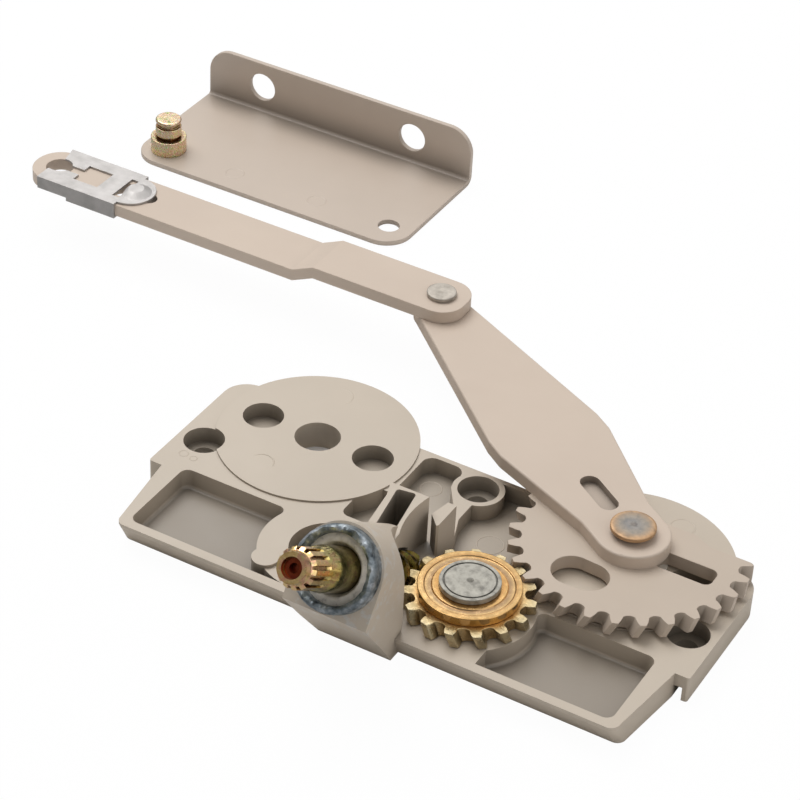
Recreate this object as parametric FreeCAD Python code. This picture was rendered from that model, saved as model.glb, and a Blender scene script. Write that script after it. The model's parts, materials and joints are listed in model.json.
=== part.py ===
import FreeCAD, Part
import os
from math import acos, asin, atan2, cos, degrees, pi, radians, sin, sqrt, tan

os.makedirs("parts", exist_ok=True)

# Casement window operator, split arm type, with its sash bracket. Millimetres, +Z up.
# The origin lies on the mounting plane, midway between the two discs. The shaft points to -Y.

# Clearances
running_gap = 0.05
stud_clearance = 0.1
shaft_clearance = 0.04
worm_room = 0.5
gear_backlash = 0.42

# Base plate
plate_height = 6.2
floor_thickness = 2.2
tray_floor = 1.8
front_y = -47.3
front_undercut = 3.1
tab_half_width = 63.5
tab_step = 3.2
tab_corner_radius = 0.6
front_taper = 6.1
tab_front_y = -26.2
back_y = 9.1
front_corner_radius = 2.0
back_corner_radius = 5.8
rim_edge_radius = 0.7

# Discs
disc_spacing = 75.0
disc_radius = 22.23
disc_height = 6.61
disc_hole_offset = 13.82
disc_hole_radius = 4.52
disc_hole_depth = 3.8
disc_centre_hole_radius = 5.04
disc_core_wall = 2.3
disc_core_depth = 3.4
disc_core_boss = 8.6
disc_core_side_boss = 6.9

# Trays
tray_side_wall = 1.7
tray_front_wall = 2.1
tray_back_y = -24.2
tray_corner_radius = 2.0
tray_draft = 0.4
tray_floor_fillet = 0.8
tray_inner_fillet = 1.6
right_tray_start = 9.6

# Screw holes
end_screw_margin = 6.01
end_screw_y = -14.08
back_screw_x = 0.2
back_screw_y = 3.5
screw_recess_radius = 4.5
screw_recess_depth = 3.8
screw_hole_radius = 2.4
back_boss_radius = 5.7
well_back_y = 7.9
well_front_y = -19.4
well_left_x = -20.2
well_left_radius = 1.8
well_side_x = -14.5
well_corner_radius = 2.5
well_boss_x = -5.2
well_boss_y = 1.2
well_boss_radius = 2.0
web_tip_x = 1.6
web_tip_y = -7.7
web_tip_thickness = 0.8
right_well_reach = 6.0
right_well_back_x = 15.0
right_well_front_x = 24.0

# Idle well on the left, the twin of the wheel pocket
idle_well_x = -16.3
idle_well_y = -30.6
idle_well_radius = 8.2
idle_ring_radius = 14.7
lug_x = -25.3
lug_y = -40.5
lug_radius = 2.9
lug_height = 0.7

# Tab windows
tab_skin = 1.3
tab_window_width = 1.9
tab_window_height = 3.2
tab_window_depth = 4.6

# Crank shaft line, in the plane x = 0
shaft_tip_y = -72.5
shaft_tip_z = 37.95
shaft_slope = 35.8

# Crank shaft, sizes along it from its tip
spline_count = 13
spline_outer_radius = 4.15
spline_root_radius = 3.45
tip_nose_radius = 3.1
tip_nose_end_radius = 3.4
tip_nose_length = 1.6
tip_cone_length = 0.7
tip_recess_radius = 2.16
tip_recess_depth = 1.2
tip_centre_radius = 1.0
tip_centre_depth = 2.6
spline_end = 8.4
spline_runout = 1.3
cone_end = 13.2
shaft_radius = 4.63
flange_start = 33.4
flange_length = 1.6
flange_radius = 6.2
neck_radius = 3.3
worm_start = 46.4
worm_end = 56.2
worm_core_radius = 2.45
worm_pitch_radius = 3.5
worm_crest_radius = 4.25
worm_thickness = 1.9
worm_flank = 14.0
worm_phase = -90.0
journal_radius = 1.8
journal_length = 3.0

# Nose, collar and bushes
collar_start = 18.7
collar_length = 3.5
collar_radius = 8.85
collar_crimp = 0.9
nose_radius = 9.4
nose_end = 43.4
nose_foot_y = -47.2
nose_foot_half_width = 8.4
nose_foot_draft_height = 8.0
bush_start = 20.8
bush_radius = 7.1
thrust_thickness = 0.8
seal_start = 25.2
seal_section = 1.0
nose_opening_radius = 16.3
rear_bush_wall = 0.9

# Slot block and stop rib
block_height = 17.7
block_back_y = -17.4
block_left_x = -9.7
block_right_x = 1.6
block_hollow_x = 20.9
block_hollow_y = -23.1
block_hollow_radius = 22.2
block_front_y = -33.6
block_left_taper = 3.0
block_shoulder = 4.0
block_shoulder_step = 1.4
slot_width = 4.2
slot_corner_radius = 0.7
slot_length = 13.0
slot_centre_x = -4.3
slot_centre_y = -24.7
slot_lean = 9.5
slot_roof = 1.2
rib_height = 14.2
rib_x = 3.5
rib_thickness = 2.0
rib_back_y = -12.9
rib_front_y = -21.2
rib_swell = 3.0
rib_swell_back = 3.2

# Gears
module = 1.718
pressure_angle = 20.0
wheel_teeth = 15
sector_teeth = 28
wheel_tip_radius = 13.7
wheel_root_radius = 11.2
sector_tip_radius = 25.3
sector_root_radius = 22.45
gap_root_rise = 0.5
wheel_helix = 22.7
mesh_phase = 2.2
wheel_x = 16.4
wheel_bottom = 6.4
wheel_thickness = 3.1
wheel_ring_radius = 14.0
wheel_support_radius = 12.4
wheel_recess_radius = 6.3
wheel_spacer_thickness = 0.9
wheel_spacer_radius = 6.0
wheel_pin_radius = 4.0
wheel_pin_tail_radius = 3.0
pin_foot = 0.4
wheel_head_radius = 6.3
wheel_head_thickness = 1.2
wheel_head_dimple = 0.8
wheel_head_rim = 0.8
wheel_head_groove = 0.3
washer_radius = 10.65
washer_height = 1.9
washer_sheet = 0.9
washer_skirt = 1.2
washer_groove_inner = 7.7
washer_groove_outer = 9.2
washer_groove_depth = 0.3

# Sector
sector_thickness = 3.2
sector_spacer_thickness = 0.6
sector_spacer_radius = 8.0
sector_left_end = 172.0
sector_first_gap = -5
sector_gap_count = 16
sector_edge_y = 8.1
sector_edge_rise = 2.0
sector_end_radius = 1.3
sector_hub_radius = 10.0
sector_slot_start = 6.5
sector_slot_end = 19.1
sector_slot_front = -3.5
sector_slot_back = 1.8
sector_slot_corner_radius = 1.6
sector_window_x = -6.2
sector_window_y = -14.0
sector_window_length = 3.4
sector_window_large = 4.6
sector_window_small = 4.4

# Drive arm
arm_thickness = 3.1
arm_length = 87.6
arm_direction = 145.84
arm_pivot_half_width = 8.05
arm_neck_length = 7.0
arm_neck_radius = 6.0
arm_wide_half_width = 13.2
arm_wide_start = 33.0
arm_wide_end = 38.5
arm_tip_half_width = 6.1
arm_corner_radius = 5.0
coin_start = 8.0
coin_end = 20.0
coin_width = 4.4
coin_depth = 1.7
key_height = 1.6

# Rivets
rivet_radius = 3.0
rivet_head_radius = 4.8
rivet_neck_radius = 3.5
rivet_neck_height = 1.1
rivet_edge_height = 0.7
rivet_crown = 0.25
rivet_crown_radius = 4.2
rivet_tail_radius = 4.4
rivet_tail_height = 1.2
rivet_foot = 0.3
pivot_washer_radius = 6.2
pivot_washer_thickness = 0.8
link_rivet_radius = 2.4
link_rivet_head_radius = 3.4
link_rivet_head_height = 1.0
link_rivet_tail_radius = 3.6
link_rivet_tail_height = 0.9

# Link
link_thickness = 3.0
link_width = 13.6
link_near_margin = 6.3
link_upper_length = 30.0
link_joggle_length = 5.5
link_joggle_drop = 2.6
link_length = 105.5
link_far_margin = 6.5
link_far_hole_offset = 25.8
link_far_hole_radius = 2.0
link_tongue_hole_offset = 18.6
link_tongue_hole_radius = 2.9
link_corner_radius = 5.6
link_far_blend = 0.2

# Clip
clip_sheet = 0.5
clip_length = 28.2
clip_far_margin = 5.0
clip_lip = 2.2
clip_window_length = 6.9
clip_window_width = 6.9
clip_window_from_mouth = 7.8
clip_neck = 2.4
clip_mouth_width = 5.6
clip_mouth_length = 4.6
clip_tongue_radius = 6.0
clip_flange_drop = 0.9
clip_flange_start = 8.3
clip_dome_radius = 3.7
clip_dome_crown = 1.9
clip_dome_height = 1.1
clip_dome_shift = 1.5
clip_slit_width = 1.9
clip_slit_from_tongue = 2.6
clip_slit_length = 8.4
clip_end_slant = 1.6

# Sash bracket, its holes and stud placed from its own corner
bracket_left_x = -142.0
bracket_length = 77.6
bracket_front_y = 80.8
bracket_depth = 38.0
bracket_sheet = 1.3
bracket_height = 14.9
bracket_bend_radius = 0.9
bracket_corner_radius = 7.0
bracket_flange_corner_radius = 6.5
bracket_plate_hole_margin = 6.4
bracket_plate_hole_from_front = 7.5
bracket_plate_hole_radius = 2.65
bracket_first_hole_margin = 16.1
bracket_flange_hole_spacing = 44.5
bracket_flange_hole_drop = 6.8
bracket_flange_hole_radius = 3.75
stud_margin = 6.9
stud_from_front = 7.1
stud_collar_radius = 4.5
stud_collar_height = 4.0
stud_neck_radius = 2.5
stud_body_radius = 3.25
stud_neck_height = 0.7
stud_groove_radius = 2.3
stud_groove_width = 1.3
stud_cap = 0.8
stud_tail_radius = 2.2
stud_tip_chamfer = 0.3

# Worked out sizes
waist_half_width = tab_half_width - tab_step
front_half_width = tab_half_width - front_taper
end_screw_x = tab_half_width - end_screw_margin
tab_window_x = tab_half_width - tab_skin - tab_window_width
tray_outer_x = front_half_width - tray_side_wall
tray_front_y = front_y + tray_front_wall
disc_x = disc_spacing / 2
pitch_radius_wheel = module * wheel_teeth / 2
pitch_radius_sector = module * sector_teeth / 2
gear_distance = pitch_radius_wheel + pitch_radius_sector
wheel_y = -sqrt(gear_distance ** 2 - (disc_x - wheel_x) ** 2)
line_of_centres = degrees(atan2(-wheel_y, disc_x - wheel_x))
sector_bottom = disc_height + sector_spacer_thickness + running_gap
sector_top = sector_bottom + sector_thickness
arm_bottom = sector_top
arm_top = arm_bottom + arm_thickness
link_bottom = arm_top + running_gap
link_top = link_bottom + link_thickness
link_low = link_bottom - link_joggle_drop
bracket_right_x = bracket_left_x + bracket_length
bracket_back_y = bracket_front_y + bracket_depth
stud_x = bracket_left_x + stud_margin
stud_y = bracket_front_y + stud_from_front
wheel_top = wheel_bottom + wheel_thickness
slope = radians(shaft_slope)
inward = FreeCAD.Vector(0, cos(slope), -sin(slope))
above = FreeCAD.Vector(0, sin(slope), cos(slope))
up = FreeCAD.Vector(0, 0, 1)


def vec(x, y, z=0.0):
    return FreeCAD.Vector(x, y, z)


def on_shaft(s, across=0.0, lift=0.0):
    tip = vec(0, shaft_tip_y, shaft_tip_z)
    return tip + inward * s + vec(across, 0, 0) + above * lift


def shaft_cylinder(radius, start, end):
    return Part.makeCylinder(radius, end - start, on_shaft(start), inward)


def shaft_cone(radius_a, radius_b, start, end):
    return Part.makeCone(radius_a, radius_b, end - start, on_shaft(start), inward)


def cylinder(x, y, radius, bottom, top):
    return Part.makeCylinder(radius, top - bottom, vec(x, y, bottom), up)


def box(x0, x1, y0, y1, z0, z1):
    return Part.makeBox(x1 - x0, y1 - y0, z1 - z0, vec(x0, y0, z0))


def polar(centre, radius, angle):
    return vec(centre[0] + radius * cos(radians(angle)), centre[1] + radius * sin(radians(angle)))


def rounded_wire(corners, z):
    """Closed wire through (x, y, radius) corners, each rounded by its own arc."""
    count = len(corners)
    edges = []
    last = None
    first = None
    for i in range(count):
        x, y, radius = corners[i]
        here = vec(x, y, z)
        before = vec(corners[i - 1][0], corners[i - 1][1], z)
        after = vec(corners[(i + 1) % count][0], corners[(i + 1) % count][1], z)
        to_before = (before - here).normalize()
        to_after = (after - here).normalize()
        if radius > 0:
            half = acos(max(-1.0, min(1.0, to_before.dot(to_after)))) / 2
            start = here + to_before * (radius / tan(half))
            end = here + to_after * (radius / tan(half))
            bisector = (to_before + to_after).normalize()
            middle = here + bisector * (radius / sin(half) - radius)
        else:
            start = here
            end = here
        if last is None:
            first = start
        elif (start - last).Length > 1e-6:
            edges.append(Part.makeLine(last, start))
        if radius > 0:
            edges.append(Part.Arc(start, middle, end).toShape())
        last = end
    if (first - last).Length > 1e-6:
        edges.append(Part.makeLine(last, first))
    return Part.Wire(edges)


def prism(corners, bottom, top):
    face = Part.Face(rounded_wire(corners, bottom))
    return face.extrude(vec(0, 0, top - bottom))


def mirrored(shape):
    return shape.mirror(vec(0, 0, 0), vec(1, 0, 0))


def union(shapes):
    result = shapes[0].multiFuse(shapes[1:])
    return result.removeSplitter()


def without(shape, cutters):
    return shape.cut(Part.Compound(cutters)) if cutters else shape


def turned(shape, angle, centre=(0, 0)):
    copy = shape.copy()
    copy.rotate(vec(centre[0], centre[1]), up, angle)
    return copy


def moved(shape, x=0.0, y=0.0, z=0.0):
    copy = shape.copy()
    copy.translate(vec(x, y, z))
    return copy


def save(name, shape):
    solids = shape.Solids
    kept = solids[0] if len(solids) == 1 else Part.Compound(solids)
    kept.exportStep("parts/" + name + ".step")
    box_size = kept.BoundBox
    print("%-18s solids %d  valid %s  volume %9.1f  z %.2f to %.2f" % (
        name, len(solids), kept.isValid(), kept.Volume, box_size.ZMin, box_size.ZMax))
    return kept


# Base casting

def plate_outline(undercut=0.0):
    front = front_y + undercut
    corner_x = front_half_width + (waist_half_width - front_half_width) * undercut / (tab_front_y - front_y)
    return [(-corner_x, front, front_corner_radius),
            (corner_x, front, front_corner_radius),
            (waist_half_width, tab_front_y, 0),
            (tab_half_width, tab_front_y, tab_corner_radius),
            (tab_half_width, back_y, back_corner_radius),
            (-tab_half_width, back_y, back_corner_radius),
            (-tab_half_width, tab_front_y, tab_corner_radius),
            (-waist_half_width, tab_front_y, 0)]


def plate_solid():
    """Plate whose front wall leans back towards its foot."""
    edge = plate_height - rim_edge_radius
    outlines = ((plate_outline(front_undercut), 0), (plate_outline(), edge))
    lower = Part.makeLoft([rounded_wire(corners, z) for corners, z in outlines], True, True)
    return lower.fuse(prism(plate_outline(), edge, plate_height))


def near(edge, x, y, reach):
    middle = edge.BoundBox.Center
    return abs(middle.x - x) < reach and abs(middle.y - y) < reach


def tray(inner_x, ring_x, ring_y, ring_radius):
    """Pocket towards +X with drafted walls, ended by the wall of the ring, its corners and floor filleted."""
    wires = []
    for inset, z in ((0.0, plate_height + 1), (tray_draft, tray_floor)):
        outer = tray_outer_x - inset
        front = tray_front_y + inset
        back = tray_back_y - inset
        wires.append(rounded_wire([(outer, front, tray_corner_radius), (outer, back, tray_corner_radius),
                                   (inner_x, back, 0), (inner_x, front, 0)], z))
    solid = Part.makeLoft(wires, True, True)
    solid = solid.cut(cylinder(ring_x, ring_y, ring_radius, 0, plate_height + 2))
    solid = max(solid.Solids, key=lambda piece: piece.Volume)
    rise = tray_back_y - ring_y
    corner_x = ring_x + sqrt(ring_radius ** 2 - rise ** 2)
    corner = [edge for edge in solid.Edges if near(edge, corner_x, tray_back_y, 2 * tray_draft + 0.2)
              and edge.BoundBox.ZLength > plate_height - tray_floor]
    solid = solid.makeFillet(tray_inner_fillet, corner)
    floor_edges = [edge for edge in solid.Edges if edge.BoundBox.ZMax < tray_floor + 0.01]
    return solid.makeFillet(tray_floor_fillet, floor_edges)


def rear_wells():
    """Open zone behind the slot block, on both sides of the web that leads to the stop rib."""
    top = disc_height + 1
    web_x = rib_x - rib_thickness
    web_left = web_tip_x - web_tip_thickness
    left = prism([(well_left_x, well_front_y, well_left_radius), (well_left_x, web_tip_y, 0),
                  (well_side_x, web_tip_y, 0), (well_side_x, well_back_y, well_corner_radius),
                  (well_boss_x, well_back_y, well_corner_radius), (well_boss_x, well_boss_y, well_boss_radius),
                  (web_left, web_tip_y, 0), (web_x, rib_back_y, 0), (web_x, well_front_y, 0)],
                 floor_thickness, top)
    right_front = rib_front_y - right_well_reach
    right = prism([(rib_x, right_front, 0), (rib_x, rib_back_y, 0), (web_tip_x, web_tip_y, 0),
                   (web_tip_x, well_back_y, well_boss_radius),
                   (right_well_back_x, well_back_y, well_boss_radius),
                   (right_well_front_x, right_front, 0)], floor_thickness, top)
    keep = [cylinder(-disc_x, 0, disc_radius, 0, disc_height + 2),
            cylinder(disc_x, 0, disc_radius, 0, disc_height + 2),
            cylinder(wheel_x, wheel_y, wheel_support_radius, 0, disc_height + 2),
            cylinder(back_screw_x, back_screw_y, back_boss_radius, 0, disc_height + 2)]
    return [without(left, keep), without(right, keep)]


def nose():
    """Inclined tube round the shaft with a solid foot under it."""
    start = collar_start + collar_length
    tube = shaft_cylinder(nose_radius, start, nose_end)
    front_low = on_shaft(start, 0, -nose_radius)
    back_axis = on_shaft(nose_end)
    profile = [vec(-nose_radius, nose_foot_y, 0), vec(-nose_radius, front_low.y, front_low.z),
               vec(-nose_radius, on_shaft(start).y, on_shaft(start).z),
               vec(-nose_radius, back_axis.y, back_axis.z), vec(-nose_radius, back_axis.y + 4, plate_height),
               vec(-nose_radius, back_axis.y + 4, 0)]
    foot = Part.Face(Part.makePolygon(profile + [profile[0]])).extrude(vec(2 * nose_radius, 0, 0))
    high = shaft_tip_z
    sides = [vec(-nose_foot_half_width, 0, 0), vec(nose_foot_half_width, 0, 0),
             vec(nose_radius, 0, nose_foot_draft_height), vec(nose_radius, 0, high),
             vec(-nose_radius, 0, high), vec(-nose_radius, 0, nose_foot_draft_height)]
    drafted = Part.Face(Part.makePolygon(sides + [sides[0]])).extrude(vec(0, shaft_tip_y, 0))
    return tube.fuse(foot.common(drafted))


def slot_block():
    corners = [(block_left_x, block_back_y, 0), (block_right_x, block_back_y, 0),
               (block_right_x, block_front_y, 0), (block_left_x + block_left_taper, block_front_y, 0),
               (block_left_x + block_shoulder_step, block_back_y - block_shoulder, 0)]
    block = prism(corners, 0, block_height)
    hollow = cylinder(block_hollow_x, block_hollow_y, block_hollow_radius, plate_height, block_height + 1)
    return block.cut(hollow)


def block_slot():
    """Slot in the block's top, with a floor that runs parallel to the shaft."""
    half_w = slot_width / 2
    half_l = slot_length / 2
    corners = [(-half_w, -half_l, slot_corner_radius), (half_w, -half_l, slot_corner_radius),
               (half_w, half_l, slot_corner_radius), (-half_w, half_l, slot_corner_radius)]
    cutter = prism(corners, floor_thickness, block_height + 1)
    cutter = moved(turned(cutter, slot_lean), slot_centre_x, slot_centre_y)
    past_worm = worm_end + journal_length + block_height
    cutter = cutter.cut(shaft_cylinder(cavity_radius + slot_roof, nose_start, past_worm))
    reach = plate_height + block_height + tab_half_width
    below_axis = Part.makeBox(2 * reach, reach, reach)
    below_axis.rotate(vec(0, 0, 0), vec(1, 0, 0), -shaft_slope)
    below_axis.translate(on_shaft(nose_start, -reach) - above * reach)
    cutter = cutter.cut(below_axis)
    return max(cutter.Solids, key=lambda solid: solid.Volume)


def stop_rib():
    corners = [(rib_x - rib_thickness, rib_back_y, 0), (rib_x, rib_back_y, 0), (rib_x, rib_front_y, 0),
               (rib_x - rib_swell, rib_front_y + rib_swell_back, 0)]
    return prism(corners, 0, rib_height)


def base_casting():
    solids = [plate_solid()]
    for side in (-1, 1):
        solids.append(cylinder(side * disc_x, 0, disc_radius, 0, disc_height))
    body = union(solids)

    # Pockets from above
    cutters = [mirrored(tray(-idle_well_x, -idle_well_x, idle_well_y, idle_ring_radius)),
               tray(wheel_x + right_tray_start, wheel_x, wheel_y, wheel_ring_radius),
               cylinder(idle_well_x, idle_well_y, idle_well_radius, tray_floor, plate_height + 1)]
    cutters += rear_wells()
    body = without(body, cutters)

    # Raised pieces
    lug = cylinder(lug_x, lug_y, lug_radius, tray_floor, plate_height + lug_height)
    body = union([body, nose(), slot_block(), stop_rib(), lug])

    # Room for the wheel over the plate, with a shallow recess for its spacer
    room = cylinder(wheel_x, wheel_y, nose_opening_radius, plate_height, shaft_tip_z)
    recess = cylinder(wheel_x, wheel_y, wheel_recess_radius, wheel_recess_z, plate_height + 1)
    body = body.cut(room).cut(recess)

    # Bores along the shaft
    bores = [shaft_cylinder(bush_radius, nose_start - 1, flange_start + flange_length + running_gap),
             shaft_cylinder(cavity_radius, flange_start, worm_end + running_gap * 2),
             shaft_cylinder(rear_bush_radius, worm_end, worm_end + journal_length + running_gap)]
    for bore in bores:
        body = body.cut(bore)
    body = body.cut(block_slot())

    # Holes
    holes = []
    recess_floor = plate_height - screw_recess_depth
    for x, y in ((-end_screw_x, end_screw_y), (end_screw_x, end_screw_y), (back_screw_x, back_screw_y)):
        recess = cylinder(x, y, screw_recess_radius, recess_floor, plate_height + 1)
        holes.append(recess.fuse(cylinder(x, y, screw_hole_radius, -1, plate_height)))
    for side in (-1, 1):
        for way in (-1, 1):
            x = side * disc_x + way * disc_hole_offset
            holes.append(cylinder(x, 0, disc_hole_radius, disc_height - disc_hole_depth, disc_height + 1))
    holes.append(cylinder(-disc_x, 0, disc_centre_hole_radius, -1, disc_height + 1))
    holes.append(cylinder(disc_x, 0, rivet_radius, -1, disc_height + 1))
    holes.append(cylinder(wheel_x, wheel_y, wheel_pin_tail_radius, -1, wheel_bottom))
    body = without(body, holes)

    # Recesses and cores from below
    under = [cylinder(disc_x, 0, pivot_washer_radius + running_gap, -1, pivot_recess)]
    for side in (-1, 1):
        core = cylinder(side * disc_x, 0, disc_radius - disc_core_wall, -1, disc_core_depth)
        bosses = [cylinder(side * disc_x, 0, disc_core_boss, -2, disc_height)]
        for way in (-1, 1):
            x = side * disc_x + way * disc_hole_offset
            bosses.append(cylinder(x, 0, disc_core_side_boss, -2, disc_height))
        under += core.cut(union(bosses)).Solids
        window = box(tab_window_x, tab_window_x + tab_window_width, tab_front_y - 1,
                     tab_front_y + tab_window_depth, -1, tab_window_height)
        under.append(window if side > 0 else mirrored(window))
    body = without(body, under)
    return body.removeSplitter()


# Shaft

def spline_groove():
    """One groove between two splines, with a run out at its inner end."""
    half = pi / spline_count / 2
    outer = spline_outer_radius + 0.6
    middle = (spline_outer_radius + spline_root_radius) / 2
    wide = 2 * middle * sin(half) * 1.25
    narrow = 2 * spline_root_radius * sin(half) * 0.75
    points = [vec(-narrow / 2, spline_root_radius), vec(narrow / 2, spline_root_radius),
              vec(wide / 2, outer), vec(-wide / 2, outer)]
    lower = Part.makePolygon([vec(p.x, p.y, -0.5) for p in points] + [vec(points[0].x, points[0].y, -0.5)])
    straight = Part.Face(lower).extrude(vec(0, 0, spline_end + 0.5))
    lift = outer - spline_root_radius
    end = [vec(p.x, p.y, spline_end) for p in points]
    far = [vec(p.x, p.y + lift, spline_end + spline_runout) for p in points]
    run = Part.makeLoft([Part.makePolygon(end + [end[0]]), Part.makePolygon(far + [far[0]])], True, True)
    return straight.fuse(run)


def thread(length, lead, core, crest, thickness, flank):
    """Right handed single thread on +Z, from z = 0 to z = length."""
    sink = 0.3
    inner = core - sink
    grow = tan(radians(flank))
    half_crest = thickness / 2 - (crest - worm_pitch_radius) * grow
    half_root = thickness / 2 + (worm_pitch_radius - inner) * grow
    turns_before = lead
    helix = Part.makeHelix(lead, length + 2 * turns_before, worm_pitch_radius)
    profile = [vec(inner, 0, -half_root), vec(crest, 0, -half_crest), vec(crest, 0, half_crest),
               vec(inner, 0, half_root)]
    wire = Part.makePolygon(profile + [profile[0]])
    ridge = Part.Wire(helix).makePipeShell([wire], True, True)
    ridge.translate(vec(0, 0, -turns_before))
    return ridge.common(Part.makeCylinder(crest + 1, length))


def to_shaft(shape, start):
    """Turns a shape built along +Z from its own z = 0 so that it runs inward along the shaft."""
    copy = shape.copy()
    copy.rotate(vec(0, 0, 0), vec(1, 0, 0), -(90 + shaft_slope))
    copy.translate(on_shaft(start))
    return copy


def worm_shaft():
    spline_start = tip_nose_length + tip_cone_length
    cone_start = spline_end + spline_runout
    pieces = [Part.makeCone(tip_nose_radius, tip_nose_end_radius, tip_nose_length),
              Part.makeCone(tip_nose_end_radius, spline_outer_radius, tip_cone_length,
                            vec(0, 0, tip_nose_length)),
              Part.makeCylinder(spline_outer_radius, cone_start - spline_start, vec(0, 0, spline_start))]
    pieces.append(Part.makeCone(spline_outer_radius, shaft_radius, cone_end - cone_start,
                                vec(0, 0, cone_start)))
    pieces.append(Part.makeCylinder(shaft_radius, flange_start - cone_end, vec(0, 0, cone_end)))
    pieces.append(Part.makeCylinder(flange_radius, flange_length, vec(0, 0, flange_start)))
    neck_start = flange_start + flange_length
    pieces.append(Part.makeCylinder(neck_radius, worm_start - neck_start, vec(0, 0, neck_start)))
    pieces.append(Part.makeCylinder(worm_core_radius, worm_end - worm_start, vec(0, 0, worm_start)))
    pieces.append(Part.makeCylinder(journal_radius, journal_length, vec(0, 0, worm_end)))
    body = union(pieces)
    ridge = thread(worm_end - worm_start, worm_lead, worm_core_radius, worm_crest_radius, worm_thickness,
                   worm_flank)
    ridge = turned(ridge, worm_phase)
    body = body.fuse(moved(ridge, 0, 0, worm_start))
    grooves = [turned(spline_groove(), 360 * i / spline_count) for i in range(spline_count)]
    grooves.append(Part.makeCylinder(tip_recess_radius, tip_recess_depth))
    grooves.append(Part.makeCylinder(tip_centre_radius, tip_centre_depth))
    for groove in grooves:
        body = body.cut(groove)
    return to_shaft(body, 0)


def shaft_bush():
    inner = shaft_radius + shaft_clearance
    end = flange_start - thrust_thickness - 2 * running_gap
    tube = shaft_cylinder(bush_radius, bush_start, end).cut(shaft_cylinder(inner, bush_start - 1, end + 1))
    groove = shaft_cylinder(inner + seal_section, seal_start, seal_start + 2 * seal_section + 2 * running_gap)
    return tube.cut(groove)


def shaft_seal():
    inner = shaft_radius + shaft_clearance
    middle = seal_start + seal_section + running_gap
    outer = inner + seal_section - running_gap
    ring = shaft_cylinder(outer, middle - seal_section, middle + seal_section)
    return ring.cut(shaft_cylinder(inner, middle - 2 * seal_section, middle + 2 * seal_section))


def thrust_washer():
    end = flange_start - running_gap
    ring = shaft_cylinder(flange_radius, end - thrust_thickness, end)
    return ring.cut(shaft_cylinder(shaft_radius + shaft_clearance, end - 2, end + 1))


def rear_bush():
    start = worm_end + 2 * running_gap
    end = worm_end + journal_length + running_gap
    ring = shaft_cylinder(rear_bush_radius, start, end)
    return ring.cut(shaft_cylinder(journal_radius + shaft_clearance, start - 1, end + 1))


def retaining_collar():
    """Staked ring: a plain tube with a rounded outer corner and a bevelled mouth."""
    end = collar_start + collar_length
    ring = shaft_cylinder(collar_radius, collar_start + collar_crimp, end)
    ring = ring.fuse(shaft_cone(collar_radius - collar_crimp, collar_radius, collar_start,
                                collar_start + collar_crimp))
    ring = ring.cut(shaft_cylinder(bush_radius, collar_start - 1, end + 1))
    return ring.removeSplitter()


# Gears

def involute(base_radius, radius):
    roll = sqrt(max(0.0, (radius / base_radius) ** 2 - 1))
    return roll - atan2(roll, 1)


def half_space_angle(teeth, radius):
    """Half of the gap between two teeth at a radius, in radians, with the backlash shared."""
    pitch_radius = module * teeth / 2
    base_radius = pitch_radius * cos(radians(pressure_angle))
    half_tooth = (pi * module / 2 - gear_backlash) / 2 / pitch_radius
    here = max(radius, base_radius)
    half_here = half_tooth + involute(base_radius, pitch_radius) - involute(base_radius, here)
    return pi / teeth - half_here


def space_wire(teeth, root_radius, tip_radius, angle, z):
    """Outline of one space between teeth: two curved flanks, a root arc and a cover past the tip."""
    steps = 6
    over = tip_radius + 0.4
    low = root_radius + gap_root_rise
    radii = [low + (over - low) * i / (steps - 1) for i in range(steps)]
    left = []
    right = []
    for radius in radii:
        half = degrees(half_space_angle(teeth, radius))
        left.append(polar((0, 0), radius, angle - half) + vec(0, 0, z))
        right.append(polar((0, 0), radius, angle + half) + vec(0, 0, z))
    flank_a = Part.BSplineCurve()
    flank_a.interpolate(left)
    flank_b = Part.BSplineCurve()
    flank_b.interpolate(right)
    root_middle = polar((0, 0), root_radius, angle) + vec(0, 0, z)
    over_middle = polar((0, 0), over, angle) + vec(0, 0, z)
    root = Part.Arc(right[0], root_middle, left[0]).toShape()
    cover = Part.Arc(left[-1], over_middle, right[-1]).toShape()
    return Part.Wire([flank_a.toShape(), cover, flank_b.toShape(), root])


def tooth_space(teeth, root_radius, tip_radius, angle, twist, bottom, top):
    """Helical space: it turns by twist degrees per millimetre, and angle is where it lies at the top."""
    margin = 0.3
    levels = [bottom - margin, (bottom + top) / 2, top + margin]
    wires = []
    for z in levels:
        wires.append(space_wire(teeth, root_radius, tip_radius, angle + twist * (z - top), z))
    return Part.makeLoft(wires, True, False)


def worm_wheel():
    wheel = cylinder(0, 0, wheel_tip_radius, wheel_bottom, wheel_top)
    wheel = wheel.cut(cylinder(0, 0, wheel_pin_radius + shaft_clearance, 0, wheel_top + 1))
    first = line_of_centres - mesh_phase * sector_teeth / wheel_teeth - wheel_twist * (sector_top - wheel_top)
    for i in range(wheel_teeth):
        angle = first + 360 * i / wheel_teeth
        space = tooth_space(wheel_teeth, wheel_root_radius, wheel_tip_radius, angle, wheel_twist,
                            wheel_bottom, wheel_top)
        wheel = wheel.cut(space)
    return moved(wheel, wheel_x, wheel_y)


def wheel_washer():
    """Pressed washer: a flat top with a ring groove, and a skirt that rests on the wheel's rim."""
    rest = wheel_top + running_gap
    top = rest + washer_height
    low = top - washer_sheet
    inner = wheel_pin_radius
    shape = cylinder(0, 0, washer_radius, rest, top)
    shape = shape.cut(cylinder(0, 0, washer_radius - washer_skirt, rest - 1, low))
    groove = cylinder(0, 0, washer_groove_outer, top - washer_groove_depth, top + 1)
    groove = groove.cut(cylinder(0, 0, washer_groove_inner, low, top + 2))
    shape = shape.cut(groove).cut(cylinder(0, 0, inner, low - 1, top + 1))
    return moved(shape, wheel_x, wheel_y)


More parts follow.
